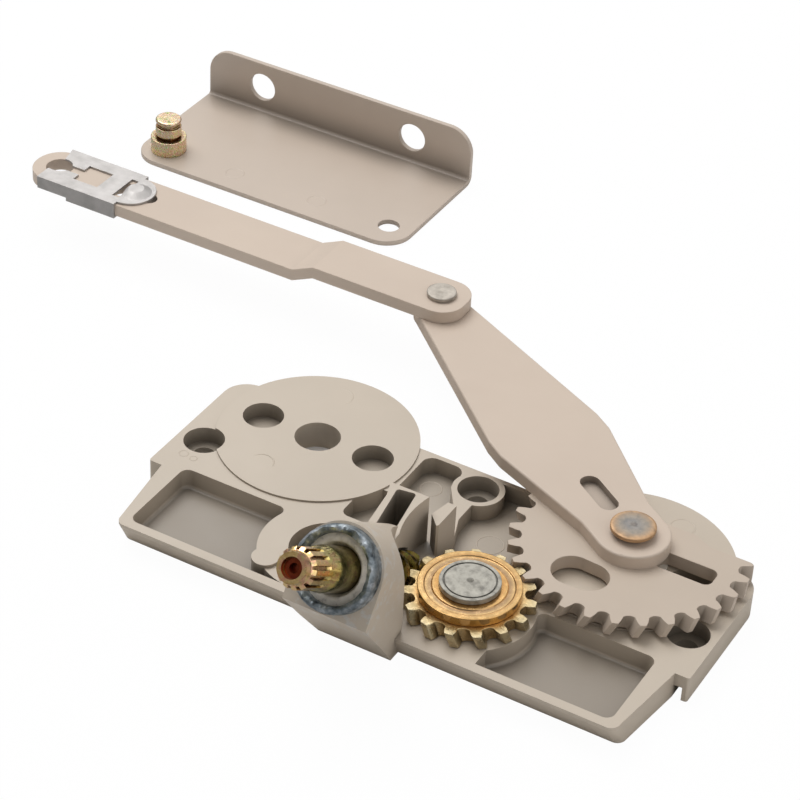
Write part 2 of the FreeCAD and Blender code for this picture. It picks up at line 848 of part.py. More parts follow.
def wheel_pin():
    head_bottom = wheel_top + running_gap + washer_height
    head_top = head_bottom + wheel_head_thickness
    pin = union([cylinder(wheel_x, wheel_y, wheel_pin_tail_radius, pin_foot, wheel_recess_z + 1),
                 cylinder(wheel_x, wheel_y, wheel_pin_radius, wheel_recess_z, head_bottom + 0.5),
                 cylinder(wheel_x, wheel_y, wheel_head_radius, head_bottom, head_top)])
    dimple_depth = wheel_head_thickness / 2
    dimple = Part.makeCone(0.1, wheel_head_dimple, dimple_depth,
                           vec(wheel_x, wheel_y, head_top - dimple_depth), up)
    ring_outer = wheel_head_radius - wheel_head_rim
    ring = cylinder(wheel_x, wheel_y, ring_outer, head_top - wheel_head_groove, head_top + 1)
    ring = ring.cut(cylinder(wheel_x, wheel_y, ring_outer - wheel_head_groove, head_bottom, head_top + 2))
    return pin.cut(dimple).cut(ring)


def wheel_spacer():
    top = wheel_bottom - running_gap
    ring = cylinder(wheel_x, wheel_y, wheel_spacer_radius, wheel_recess_z, top)
    return ring.cut(cylinder(wheel_x, wheel_y, wheel_pin_radius, 0, top + 1))


def slot_solid(start, end, width, bottom, top):
    half = width / 2
    bar = box(start + half, end - half, -half, half, bottom, top)
    ends = [cylinder(start + half, 0, half, bottom, top), cylinder(end - half, 0, half, bottom, top)]
    return union([bar] + ends)


def sector_gear():
    """Toothed plate. Its centre is at the origin here, and it is moved to the pivot at the end."""
    disc = cylinder(0, 0, sector_tip_radius, sector_bottom, sector_top)
    reach = 2 * sector_tip_radius
    left_end = polar((0, 0), reach, sector_left_end)
    hub_edge_y = sector_edge_y + sector_edge_rise
    keep = prism([(left_end.x, left_end.y, 0), (-sector_hub_radius, hub_edge_y, sector_edge_rise),
                  (sector_hub_radius, hub_edge_y, sector_edge_rise),
                  (sector_hub_radius + 2 * sector_edge_rise, sector_edge_y, sector_edge_rise),
                  (reach, sector_edge_y, 0), (reach, -reach, 0), (-reach, -reach, 0)],
                 sector_bottom - 1, sector_top + 1)
    plate = disc.common(keep)
    corner_x = sqrt(sector_tip_radius ** 2 - sector_edge_y ** 2)
    corner = [edge for edge in plate.Edges if near(edge, corner_x, sector_edge_y, sector_end_radius / 2)
              and edge.BoundBox.ZLength > sector_thickness / 2]
    plate = plate.makeFillet(sector_end_radius, corner)
    tooth = 180 + line_of_centres + mesh_phase
    for i in range(sector_first_gap, sector_first_gap + sector_gap_count):
        angle = tooth + (i + 0.5) * 360 / sector_teeth
        space = tooth_space(sector_teeth, sector_root_radius, sector_tip_radius, angle, sector_twist,
                            sector_bottom, sector_top)
        plate = plate.cut(space)
    low = sector_bottom - 1
    high = sector_top + 1
    slot_corners = ((sector_slot_start, sector_slot_front), (sector_slot_end, sector_slot_front),
                    (sector_slot_end, sector_slot_back), (sector_slot_start, sector_slot_back))
    slot = prism([(x, y, sector_slot_corner_radius) for x, y in slot_corners], low, high)
    key_slot = turned(slot_solid(coin_start, coin_end, coin_width, low, high), arm_direction)
    small_x = sector_window_x + sector_window_length
    large = cylinder(sector_window_x, sector_window_y, sector_window_large, low, high)
    small = cylinder(small_x, sector_window_y, sector_window_small, low, high)
    lean = asin((sector_window_large - sector_window_small) / sector_window_length)
    ends = ((sector_window_x, sector_window_large, 1), (small_x, sector_window_small, 1),
            (small_x, sector_window_small, -1), (sector_window_x, sector_window_large, -1))
    web = [(x + radius * sin(lean), sector_window_y + way * radius * cos(lean), 0) for x, radius, way in ends]
    window = union([large, small, prism(web, low, high)])
    bore = cylinder(0, 0, rivet_radius + shaft_clearance, 0, sector_top + 1)
    plate = without(plate, [slot, window, bore]).cut(key_slot)
    return moved(plate, disc_x)


def sector_spacer():
    ring = cylinder(disc_x, 0, sector_spacer_radius, disc_height, disc_height + sector_spacer_thickness)
    return ring.cut(cylinder(disc_x, 0, rivet_radius, 0, sector_top))


# Arms

def arm_solid():
    length = arm_length
    tip = arm_tip_half_width
    corners = [(arm_wide_start, -arm_wide_half_width, arm_corner_radius),
               (arm_wide_end, -arm_wide_half_width, arm_corner_radius),
               (length, -tip, 0), (length, tip, 0),
               (arm_wide_end, arm_wide_half_width, arm_corner_radius),
               (arm_wide_start, arm_wide_half_width, arm_corner_radius),
               (arm_neck_length, arm_pivot_half_width, arm_neck_radius),
               (0, arm_pivot_half_width, 0), (0, -arm_pivot_half_width, 0),
               (arm_neck_length, -arm_pivot_half_width, arm_neck_radius)]
    body = prism(corners, arm_bottom, arm_top)
    body = union([body, cylinder(0, 0, arm_pivot_half_width, arm_bottom, arm_top),
                  cylinder(length, 0, tip, arm_bottom, arm_top)])
    return body


def drive_arm():
    body = arm_solid()
    edges = []
    for edge in body.Edges:
        points = [v.Point.z for v in edge.Vertexes]
        if len(points) > 1 and abs(points[0] - arm_top) < 1e-4 and abs(points[1] - arm_top) < 1e-4:
            edges.append(edge)
    body = body.makeFillet(0.5, edges)
    coin = slot_solid(coin_start, coin_end, coin_width, arm_top - coin_depth, arm_top + 1)
    key = slot_solid(coin_start + running_gap, coin_end - running_gap, coin_width - 2 * running_gap,
                     arm_bottom - key_height, arm_bottom + 0.2)
    bore = cylinder(0, 0, rivet_radius + shaft_clearance, 0, arm_top + 1)
    link_bore = cylinder(arm_length, 0, link_rivet_radius, 0, arm_top + 1)
    body = without(body.fuse(key), [coin, bore, link_bore])
    return moved(turned(body, arm_direction), disc_x)


def pivot_rivet():
    """Mushroom rivet: a narrow neck that flares out to a thin head with a low crown."""
    base = arm_top + running_gap
    edge = base + rivet_neck_height
    crown = edge + rivet_edge_height
    centre = vec(disc_x, 0)
    parts = [cylinder(disc_x, 0, rivet_radius, rivet_foot, crown),
             Part.makeCone(rivet_neck_radius, rivet_head_radius, rivet_neck_height, centre + up * base, up),
             cylinder(disc_x, 0, rivet_head_radius, edge, crown),
             Part.makeCone(rivet_head_radius, rivet_crown_radius, rivet_crown, centre + up * crown, up),
             cylinder(disc_x, 0, rivet_tail_radius, rivet_foot, pivot_recess - pivot_washer_thickness)]
    return union(parts)


def pivot_washer():
    ring = cylinder(disc_x, 0, pivot_washer_radius, pivot_recess - pivot_washer_thickness, pivot_recess)
    return ring.cut(cylinder(disc_x, 0, rivet_radius, -1, pivot_recess + 1))


def link_pivot():
    return polar((disc_x, 0), arm_length, arm_direction)


def link_rivet():
    at = link_pivot()
    head_bottom = link_top + running_gap
    shank = cylinder(at.x, at.y, link_rivet_radius, arm_bottom - 0.2, head_bottom + 0.4)
    head = cylinder(at.x, at.y, link_rivet_head_radius, head_bottom, head_bottom + link_rivet_head_height)
    tail = cylinder(at.x, at.y, link_rivet_tail_radius, arm_bottom - link_rivet_tail_height, arm_bottom)
    return union([shank, head, tail])


def link_side():
    """Side profile of the link in x and z, from its rounded near end to its far end, pivot at x = 0."""
    near = link_near_margin
    step = -link_upper_length
    low = step - link_joggle_length
    far = -link_length - link_far_margin
    low_top = link_low + link_thickness
    return [vec(near, 0, link_bottom), vec(step, 0, link_bottom), vec(low, 0, link_low),
            vec(far, 0, link_low), vec(far, 0, low_top), vec(low, 0, low_top), vec(step, 0, link_top),
            vec(near, 0, link_top)]


def link_outline():
    half = link_width / 2
    far = -link_length - link_far_margin
    blend = half - link_far_blend
    near = link_near_margin
    return [(near, -half, link_corner_radius), (near, half, link_corner_radius), (far, half, blend),
            (far, -half, blend)]


def link_arm():
    at = link_pivot()
    side = link_side()
    bar = Part.Face(Part.makePolygon(side + [side[0]])).extrude(vec(0, link_width, 0))
    bar.translate(vec(0, -link_width / 2, 0))
    body = bar.common(prism(link_outline(), 0, link_top + 5))
    holes = [cylinder(0, 0, link_rivet_radius + shaft_clearance, 0, link_top + 1),
             cylinder(-link_length, 0, stud_body_radius + stud_clearance, 0, link_top + 1),
             cylinder(-link_length + link_far_hole_offset, 0, link_far_hole_radius, 0, link_top + 1),
             cylinder(-link_length + link_tongue_hole_offset, 0, link_tongue_hole_radius, 0, link_top + 1)]
    return moved(without(body, holes), at.x, at.y)


def end_clip():
    """Folded spring clip: a flat top with a mouth, neck and window, a rounded tongue and two side lips."""
    at = link_pivot()
    bottom = link_low + link_thickness + running_gap
    top = bottom + clip_sheet
    outer = link_width / 2 + running_gap + clip_sheet
    far = -link_length - link_far_margin + clip_far_margin
    near = far + clip_length - clip_tongue_radius
    half_tongue = clip_tongue_radius
    plate = union([box(far, near, -outer, outer, bottom, top),
                   cylinder(near, 0, half_tongue, bottom, top)])
    lips = []
    lip_low = link_low - running_gap - clip_sheet
    for side in (-1, 1):
        y0 = outer - clip_sheet
        wall = box(far, near, y0, outer, lip_low + clip_flange_drop, top)
        deep = box(far + clip_flange_start, near, y0, outer, lip_low, top)
        lip = box(far + clip_flange_start, near, y0 - clip_lip, outer, lip_low, lip_low + clip_sheet)
        group = union([wall, deep, lip])
        if side < 0:
            group = group.mirror(vec(0, 0, 0), vec(0, 1, 0))
        lips.append(group)
    dome_x = near + clip_dome_shift
    crown = clip_dome_crown
    dome = Part.makeCone(clip_dome_radius, crown, clip_dome_height, vec(dome_x, 0, top), up)
    hollow = Part.makeCone(clip_dome_radius, crown, clip_dome_height, vec(dome_x, 0, bottom - 0.1), up)
    body = union([plate] + lips + [dome])
    window_start = far + clip_window_from_mouth
    half_window = clip_window_width / 2
    mouth_x = far + clip_mouth_length - clip_mouth_width / 2
    half_mouth = clip_mouth_width / 2
    slit_x = near - clip_slit_from_tongue
    slant = prism([(far - 1, 0, 0), (far + clip_end_slant, 0, 0), (far, outer, 0), (far, outer + 1, 0),
                   (far - 1, outer + 1, 0)], bottom - 1, top + 1)
    cuts = [slant, box(window_start, window_start + clip_window_length, -half_window, half_window,
                       bottom - 1, top + 1),
            box(mouth_x, window_start + 0.1, -clip_neck / 2, clip_neck / 2, bottom - 1, top + 1),
            cylinder(mouth_x, 0, half_mouth, bottom - 1, top + 1),
            box(far - 1, mouth_x, -half_mouth, half_mouth, bottom - 1, top + 1),
            box(slit_x, slit_x + clip_slit_width, -clip_slit_length / 2, clip_slit_length / 2, bottom - 1,
                top + clip_dome_height + 1)]
    body = body.cut(hollow)
    for cut in cuts:
        body = body.cut(cut)
    return moved(body, at.x, at.y)


# Sash bracket

def sash_bracket():
    left = bracket_left_x
    right = bracket_right_x
    front = bracket_front_y
    back = bracket_back_y
    sheet = bracket_sheet
    side = [vec(0, front, 0), vec(0, back, 0), vec(0, back, bracket_height),
            vec(0, back - sheet, bracket_height), vec(0, back - sheet, sheet), vec(0, front, sheet)]
    bar = Part.Face(Part.makePolygon(side + [side[0]])).extrude(vec(bracket_length, 0, 0))
    bar.translate(vec(left, 0, 0))
    for y, z, radius in ((back - sheet, sheet, bracket_bend_radius), (back, 0, bracket_bend_radius + sheet)):
        fold = [e for e in bar.Edges if e.BoundBox.XLength > bracket_length / 2
                and abs(e.BoundBox.YMin - y) < 1e-3 and abs(e.BoundBox.ZMin - z) < 1e-3]
        bar = bar.makeFillet(radius, fold)
    plan = prism([(left, front, bracket_corner_radius), (right, front, bracket_corner_radius),
                  (right, back + 1, 0), (left, back + 1, 0)], -1, bracket_height + 1)
    radius = bracket_flange_corner_radius
    face = Part.Face(rounded_wire([(left, -sheet, 0), (right, -sheet, 0), (right, bracket_height, radius),
                                   (left, bracket_height, radius)], 0))
    face.rotate(vec(0, 0, 0), vec(1, 0, 0), 90)
    face.translate(vec(0, front - 1, 0))
    elevation = face.extrude(vec(0, bracket_depth + 2, 0))
    bar = bar.common(plan).common(elevation)
    holes = [cylinder(right - bracket_plate_hole_margin, front + bracket_plate_hole_from_front,
                      bracket_plate_hole_radius, -1, sheet + 1),
             cylinder(stud_x, stud_y, stud_tail_radius, -1, sheet + 1)]
    for i in range(2):
        x = left + bracket_first_hole_margin + i * bracket_flange_hole_spacing
        start = vec(x, back - sheet - 1, bracket_height - bracket_flange_hole_drop)
        holes.append(Part.makeCylinder(bracket_flange_hole_radius, sheet + 2, start, vec(0, 1, 0)))
    return without(bar, holes)


def bracket_stud():
    """Collar, neck, bearing length for the link, groove for the clip and a chamfered cap."""
    foot = bracket_sheet
    collar_top = foot + stud_collar_height
    groove_start = collar_top + link_thickness
    cap_start = groove_start + stud_groove_width
    chamfer_start = cap_start + stud_cap - stud_tip_chamfer
    body = union([cylinder(stud_x, stud_y, stud_tail_radius, 0, foot + 1),
                  cylinder(stud_x, stud_y, stud_collar_radius, foot, collar_top),
                  cylinder(stud_x, stud_y, stud_neck_radius, foot, chamfer_start),
                  cylinder(stud_x, stud_y, stud_body_radius, collar_top + stud_neck_height, groove_start),
                  cylinder(stud_x, stud_y, stud_groove_radius, foot, chamfer_start),
                  cylinder(stud_x, stud_y, stud_body_radius, cap_start, chamfer_start),
                  Part.makeCone(stud_body_radius, stud_body_radius - stud_tip_chamfer, stud_tip_chamfer,
                                vec(stud_x, stud_y, chamfer_start), up)])
    return body


nose_start = collar_start + collar_length
cavity_radius = worm_crest_radius + worm_room
rear_bush_radius = journal_radius + rear_bush_wall
pivot_recess = rivet_tail_height + pivot_washer_thickness + rivet_foot
wheel_recess_z = wheel_bottom - running_gap - wheel_spacer_thickness
normal_pitch = pi * module * cos(radians(wheel_helix))
worm_lead = 2 * pi * worm_pitch_radius * tan(asin(normal_pitch / (2 * pi * worm_pitch_radius)))
wheel_twist = -degrees(tan(radians(wheel_helix)) / pitch_radius_wheel)
sector_twist = -wheel_twist * wheel_teeth / sector_teeth

save("base_casting", base_casting())
save("worm_shaft", worm_shaft())
save("shaft_bush", shaft_bush())
save("shaft_seal", shaft_seal())
save("thrust_washer", thrust_washer())
save("rear_bush", rear_bush())
save("retaining_collar", retaining_collar())
save("worm_wheel", worm_wheel())
save("wheel_washer", wheel_washer())
save("wheel_pin", wheel_pin())
save("wheel_spacer", wheel_spacer())
save("sector_gear", sector_gear())
save("sector_spacer", sector_spacer())
save("pivot_rivet", pivot_rivet())
save("pivot_washer", pivot_washer())
save("drive_arm", drive_arm())
save("link_arm", link_arm())
save("link_rivet", link_rivet())
save("end_clip", end_clip())
save("sash_bracket", sash_bracket())
save("bracket_stud", bracket_stud())
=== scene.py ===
import json
import math
import bpy
import bmesh
from mathutils import Matrix, Vector, noise

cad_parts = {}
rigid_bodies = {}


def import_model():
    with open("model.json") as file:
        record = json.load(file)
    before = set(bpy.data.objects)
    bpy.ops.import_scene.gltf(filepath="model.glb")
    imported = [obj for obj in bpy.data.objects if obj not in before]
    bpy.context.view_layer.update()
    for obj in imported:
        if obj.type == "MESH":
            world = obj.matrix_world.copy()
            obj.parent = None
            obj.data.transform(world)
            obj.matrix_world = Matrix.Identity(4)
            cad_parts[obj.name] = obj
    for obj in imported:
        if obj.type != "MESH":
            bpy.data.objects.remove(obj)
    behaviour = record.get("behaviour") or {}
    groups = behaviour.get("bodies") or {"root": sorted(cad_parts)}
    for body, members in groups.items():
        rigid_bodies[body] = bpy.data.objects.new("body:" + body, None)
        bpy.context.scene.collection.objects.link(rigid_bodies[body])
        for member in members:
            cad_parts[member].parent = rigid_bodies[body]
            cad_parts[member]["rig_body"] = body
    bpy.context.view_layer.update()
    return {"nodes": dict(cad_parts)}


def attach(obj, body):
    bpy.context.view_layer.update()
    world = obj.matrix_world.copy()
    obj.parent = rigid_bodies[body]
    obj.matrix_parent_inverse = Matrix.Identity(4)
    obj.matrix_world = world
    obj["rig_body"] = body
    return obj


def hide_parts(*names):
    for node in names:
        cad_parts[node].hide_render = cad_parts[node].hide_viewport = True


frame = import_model()
mm = 0.001
print("frame loaded:", len(frame["nodes"]), "nodes")


# Camera at the photograph's view, in degrees, mm and pixels. The plate's top, midway between the discs,
# shows at plateMark.
camera = {
    "azimuth": 28.05,
    "elevation": 36.45,
    "roll": 3.243,
    "distance": 575.2,
    "focalPixels": 2729.94,
    "imageSize": 800,
    "plateMark": (469.62, 497.57),
    "plateHeight": 6.2,
    "sensorWidth": 36,
    "clipStart": 0.01,  # metres, as clipEnd
    "clipEnd": 20,
}


def makeCamera(c):
    azimuth = math.radians(c["azimuth"])
    elevation = math.radians(c["elevation"])
    roll = math.radians(c["roll"])
    back = Vector((math.sin(azimuth) * math.cos(elevation), -math.cos(azimuth) * math.cos(elevation),
                   math.sin(elevation)))
    flatRight = Vector((math.cos(azimuth), math.sin(azimuth), 0))
    flatUp = back.cross(flatRight)
    right = math.cos(roll) * flatRight + math.sin(roll) * flatUp
    upward = -math.sin(roll) * flatRight + math.cos(roll) * flatUp
    half = c["imageSize"] / 2
    alongRight = (c["plateMark"][0] - half) / c["focalPixels"] * c["distance"]
    alongUp = -(c["plateMark"][1] - half) / c["focalPixels"] * c["distance"]
    target = Vector((0, 0, c["plateHeight"]))
    place = target + back * c["distance"] - right * alongRight - upward * alongUp
    data = bpy.data.cameras.new("photoCamera")
    data.sensor_width = c["sensorWidth"]
    data.sensor_fit = "HORIZONTAL"
    data.lens = c["focalPixels"] / c["imageSize"] * c["sensorWidth"]
    data.clip_start = c["clipStart"]
    data.clip_end = c["clipEnd"]
    obj = bpy.data.objects.new("photoCamera", data)
    bpy.context.scene.collection.objects.link(obj)
    axes = Matrix((right, upward, back)).transposed().to_4x4()
    obj.matrix_world = Matrix.Translation(place * mm) @ axes
    bpy.context.scene.camera = obj


makeCamera(camera)
print("camera placed")


# Light and floor, in metres. The floor glows white to the camera, but not in the patch under the base, so
# that the holes above it stay dark. underBase is that patch in mm: half its x, half its y and its middle y.
studio = {
    "ambient": {"low": 0.30, "high": 0.50, "towardsBack": 0.35, "span": (-0.2, 1.0)},
    "mirror": {"low": 0.10, "high": 1.05, "towardsBack": 0.6, "span": (0.05, 0.85)},
    "keyLamp": {"place": (-0.55, 0.30, 1.05), "size": 0.9, "power": 10.5},
    "fillLamp": {"place": (1.0, -0.25, 0.45), "size": 0.8, "power": 1.9},
    "floorColour": (0.93, 0.93, 0.93),
    "floorMirror": 0.45,  # share of the floor's colour that shiny metal shows
    "floorGlow": 0.97,
    "floorHalf": 3.0,
    "underBase": (46, 8, 0),
}


def addNode(tree, kind, **values):
    node = tree.nodes.new(kind)
    for key, value in values.items():
        if key in node.inputs:
            node.inputs[key].default_value = value
        else:
            setattr(node, key, value)
    return node


def plug(tree, socket, value):
    if hasattr(value, "is_output"):
        tree.links.new(value, socket)
    elif value is not None:
        socket.default_value = value


def mathNode(tree, operation, a, b=None):
    node = addNode(tree, "ShaderNodeMath", operation=operation)
    plug(tree, node.inputs[0], a)
    plug(tree, node.inputs[1], b)
    return node.outputs[0]


def vectorNode(tree, operation, a, b=None, output="Vector"):
    node = addNode(tree, "ShaderNodeVectorMath", operation=operation)
    plug(tree, node.inputs[0], a)
    plug(tree, node.inputs[1], b)
    return node.outputs[output]


def spread(tree, value, fromLow, fromHigh, toLow, toHigh):
    node = tree.nodes.new("ShaderNodeMapRange")
    tree.links.new(value, node.inputs["Value"])
    limits = {"From Min": fromLow, "From Max": fromHigh, "To Min": toLow, "To Max": toHigh}
    for name, number in limits.items():
        node.inputs[name].default_value = number
    return node.outputs["Result"]


def splitCoord(tree, output):
    coord = tree.nodes.new("ShaderNodeTexCoord")
    split = tree.nodes.new("ShaderNodeSeparateXYZ")
    tree.links.new(coord.outputs[output], split.inputs[0])
    return split.outputs


def layered(tree, out, shade, layers):
    for factor, upper in layers:  # each layer covers what lies below by its factor
        mix = tree.nodes.new("ShaderNodeMixShader")
        tree.links.new(factor, mix.inputs["Fac"])
        tree.links.new(shade, mix.inputs[1])
        tree.links.new(upper, mix.inputs[2])
        shade = mix.outputs[0]
    tree.links.new(shade, out.inputs["Surface"])


def backdropLevel(tree, split, part):
    height = spread(tree, split["Z"], *part["span"], part["low"], part["high"])
    depth = spread(tree, split["Y"], -1.0, 1.0, 1 - part["towardsBack"], 1 + part["towardsBack"])
    return mathNode(tree, "MULTIPLY", height, depth)


def makeWorld(s):
    world = bpy.data.worlds.new("studioWorld")
    world.use_nodes = True
    bpy.context.scene.world = world
    tree = world.node_tree
    tree.nodes.clear()
    out = tree.nodes.new("ShaderNodeOutputWorld")
    split = splitCoord(tree, "Generated")
    path = tree.nodes.new("ShaderNodeLightPath")
    ambient = backdropLevel(tree, split, s["ambient"])
    mirror = backdropLevel(tree, split, s["mirror"])
    shades = []
    for strength in (ambient, mirror, 1.0):  # seen by matt surfaces, by shiny ones and by the camera
        shade = addNode(tree, "ShaderNodeBackground", Color=(1, 1, 1, 1))
        plug(tree, shade.inputs["Strength"], strength)
        shades.append(shade.outputs[0])
    layered(tree, out, shades[0], [(path.outputs["Is Glossy Ray"], shades[1]),
                                   (path.outputs["Is Camera Ray"], shades[2])])


def makeLamp(name, lamp):
    data = bpy.data.lights.new(name, "AREA")
    data.shape = "SQUARE"
    data.size = lamp["size"]
    data.energy = lamp["power"]
    obj = bpy.data.objects.new(name, data)
    bpy.context.scene.collection.objects.link(obj)
    obj.location = lamp["place"]
    aim = -Vector(lamp["place"])
    obj.rotation_euler = aim.to_track_quat("-Z", "Y").to_euler()


def floorPaper(s):
    mat = bpy.data.materials.new("floorPaper")
    mat.use_nodes = True
    tree = mat.node_tree
    tree.nodes.clear()
    out = tree.nodes.new("ShaderNodeOutputMaterial")
    dimColour = tuple(c * s["floorMirror"] for c in s["floorColour"])
    paper = addNode(tree, "ShaderNodeBsdfDiffuse", Color=s["floorColour"] + (1,))
    dim = addNode(tree, "ShaderNodeBsdfDiffuse", Color=dimColour + (1,))
    glow = addNode(tree, "ShaderNodeEmission", Color=(1, 1, 1, 1), Strength=1.0)
    path = tree.nodes.new("ShaderNodeLightPath")
    split = splitCoord(tree, "Object")
    halfX, halfY, middleY = (value * mm for value in s["underBase"])
    pastX = mathNode(tree, "GREATER_THAN", mathNode(tree, "ABSOLUTE", split["X"]), halfX)
    fromMiddle = mathNode(tree, "ABSOLUTE", mathNode(tree, "SUBTRACT", split["Y"], middleY))
    outside = mathNode(tree, "MAXIMUM", pastX, mathNode(tree, "GREATER_THAN", fromMiddle, halfY))
    strength = mathNode(tree, "MULTIPLY", outside, s["floorGlow"])
    seen = mathNode(tree, "MULTIPLY", path.outputs["Is Camera Ray"], strength)
    layered(tree, out, paper.outputs[0], [(path.outputs["Is Glossy Ray"], dim.outputs[0]),
                                          (seen, glow.outputs[0])])
    return mat


def makeFloor(s):
    half = s["floorHalf"]
    corners = [(-half, -half, 0), (half, -half, 0), (half, half, 0), (-half, half, 0)]
    mesh = bpy.data.meshes.new("floor")
    mesh.from_pydata(corners, [], [(0, 1, 2, 3)])
    mesh.materials.append(floorPaper(s))
    obj = bpy.data.objects.new("floor", mesh)
    bpy.context.scene.collection.objects.link(obj)


makeWorld(studio)
for name in ("keyLamp", "fillLamp"):
    makeLamp(name, studio[name])
makeFloor(studio)
bpy.context.scene.view_settings.view_transform = "Standard"
print("studio ready")


# Finishes. A field is a noise texture, with its scale for each metre, its detail and its roughness.
fieldLow = 0.3
fieldHigh = 0.7
bumpDepth = 0.1


def newFinish(name):
    mat = bpy.data.materials.new(name)
    mat.use_nodes = True
    tree = mat.node_tree
    shader = tree.nodes["Principled BSDF"]
    coord = tree.nodes.new("ShaderNodeTexCoord")
    return mat, tree, shader, coord.outputs["Object"]


def noiseField(tree, coord, scale, detail, rough, stretch=None):
    field = addNode(tree, "ShaderNodeTexNoise", Scale=scale, Detail=detail, Roughness=rough)
    if stretch:
        mapping = addNode(tree, "ShaderNodeMapping", Scale=stretch)
        tree.links.new(coord, mapping.inputs["Vector"])
        coord = mapping.outputs[0]
    tree.links.new(coord, field.inputs["Vector"])
    return field.outputs["Fac"]


def rampOf(tree, value, stops):
    ramp = tree.nodes.new("ShaderNodeValToRGB")
    elements = ramp.color_ramp.elements
    while len(elements) < len(stops):
        elements.new(0.5)  # moved to its own place below
    for element, (place, colour) in zip(elements, stops):
        element.position = place
        element.color = tuple(colour) + (1,)
    tree.links.new(value, ramp.inputs["Fac"])
    return ramp.outputs["Color"]


def greyRamp(tree, value, stops):
    return rampOf(tree, value, [(place, (level, level, level)) for place, level in stops])


def mixColour(tree, factor, a, b, mode="MIX"):
    mix = addNode(tree, "ShaderNodeMix", data_type="RGBA", blend_type=mode)
    plug(tree, mix.inputs[0], factor)
    for index, value in ((6, a), (7, b)):  # the two colour inputs, with output 2 as their result
        plug(tree, mix.inputs[index], value + (1,) if isinstance(value, tuple) else value)
    return mix.outputs[2]


def bumpFrom(tree, shader, height, strength):
    bump = addNode(tree, "ShaderNodeBump", Strength=strength, Distance=bumpDepth * mm)
    tree.links.new(height, bump.inputs["Height"])
    tree.links.new(bump.outputs["Normal"], shader.inputs["Normal"])


def roughFrom(tree, shader, field, rough, less, more):
    level = greyRamp(tree, field, [(fieldLow, rough - less), (fieldHigh, rough + more)])
    tree.links.new(level, shader.inputs["Roughness"])


# Painted shade: ambient occlusion within reach mm, from the part's own shape, darkens creases, corners and
# hollows by the stops
def shadeInHollows(tree, reach, stops):
    node = addNode(tree, "ShaderNodeAmbientOcclusion", Distance=reach * mm, only_local=True, samples=8)
    return greyRamp(tree, node.outputs["AO"], stops)


def inMetres(place):
    return tuple(value * mm for value in place)


def along(tree, coord, start, direction):
    offset = vectorNode(tree, "SUBTRACT", coord, inMetres(start))
    return vectorNode(tree, "DOT_PRODUCT", offset, tuple(value / mm for value in direction), "Value")


def offAxis(tree, coord, start, direction):
    offset = vectorNode(tree, "SUBTRACT", coord, inMetres(start))
    across = vectorNode(tree, "CROSS_PRODUCT", offset, tuple(value / mm for value in direction))
    return vectorNode(tree, "LENGTH", across, None, "Value")


def radiusFrom(tree, coord, x, y):
    flat = vectorNode(tree, "MULTIPLY", coord, (1 / mm, 1 / mm, 0))
    return vectorNode(tree, "DISTANCE", flat, (x, y, 0), "Value")


paintFields = {
    "cloud": (45, 4, 0.5),
    "cloudLow": 0.35,
    "cloudHigh": 0.65,
    "sheen": (160, 3, 0.5),
    "sheenLess": 0.04,
    "sheenMore": 0.05,
    "peel": (620, 2, 0.5),
    "recessBlend": 0.7,  # mm over which a recess grows darker
}


def bakedPaint(name, look):
    p = paintFields
    mat, tree, shader, coord = newFinish(name)
    cloud = noiseField(tree, coord, *p["cloud"])
    colour = rampOf(tree, cloud, [(p["cloudLow"], look["shade"]), (p["cloudHigh"], look["base"])])
    # painted shade in creases and hollows, multiplied into the colour
    paintedShade = shadeInHollows(tree, look["reach"], look["paintedShade"])
    colour = mixColour(tree, 1.0, colour, paintedShade, "MULTIPLY")
    if "recess" in look:
        colour = shadedRecess(tree, coord, colour, look)
    if "smear" in look:
        away = vectorNode(tree, "DISTANCE", coord, inMetres(look["smearPlace"]), "Value")
        close = spread(tree, away, look["smearNear"] * mm, look["smearFar"] * mm, 1.0, 0.0)
        patch = greyRamp(tree, noiseField(tree, coord, *look["smearField"]), look["smearStops"])
        colour = mixColour(tree, mathNode(tree, "MULTIPLY", close, patch), colour, look["smear"])
    tree.links.new(colour, shader.inputs["Base Color"])
    sheen = noiseField(tree, coord, *p["sheen"])
    roughFrom(tree, shader, sheen, look["rough"], p["sheenLess"], p["sheenMore"])
    shader.inputs["Specular IOR Level"].default_value = look["gloss"]
    bumpFrom(tree, shader, noiseField(tree, coord, *p["peel"]), look["peel"])
    return mat


def shadedRecess(tree, coord, colour, look):
    height = along(tree, coord, (0, 0, 0), (0, 0, 1))
    top = look["recessTop"]
    deep = spread(tree, height, top - paintFields["recessBlend"], top, look["recess"], 1.0)
    normal = tree.nodes.new("ShaderNodeNewGeometry")
    facing = along(tree, normal.outputs["Normal"], (0, 0, 0), (0, 0, mm))
    facing = spread(tree, facing, fieldLow, fieldHigh, 0.0, 1.0)
    return mixColour(tree, facing, colour, mixColour(tree, 1.0, colour, deep, "MULTIPLY"))


goldFields = {
    "patch": (5, 0.62),
    "film": (3, 0.7),
    "filmStep": 3.1,  # the film's scale, as times the patches' own
    "filmLow": 0.45,
    "filmHigh": 0.62,
    "grain": (3, 0.5),
    "roughLess": 0.08,
    "roughMore": 0.12,
    "bandStart": -0.5,  # mm from the shaft's tip
    "coreBlend": 0.15,  # mm over which the core's colour ends
}


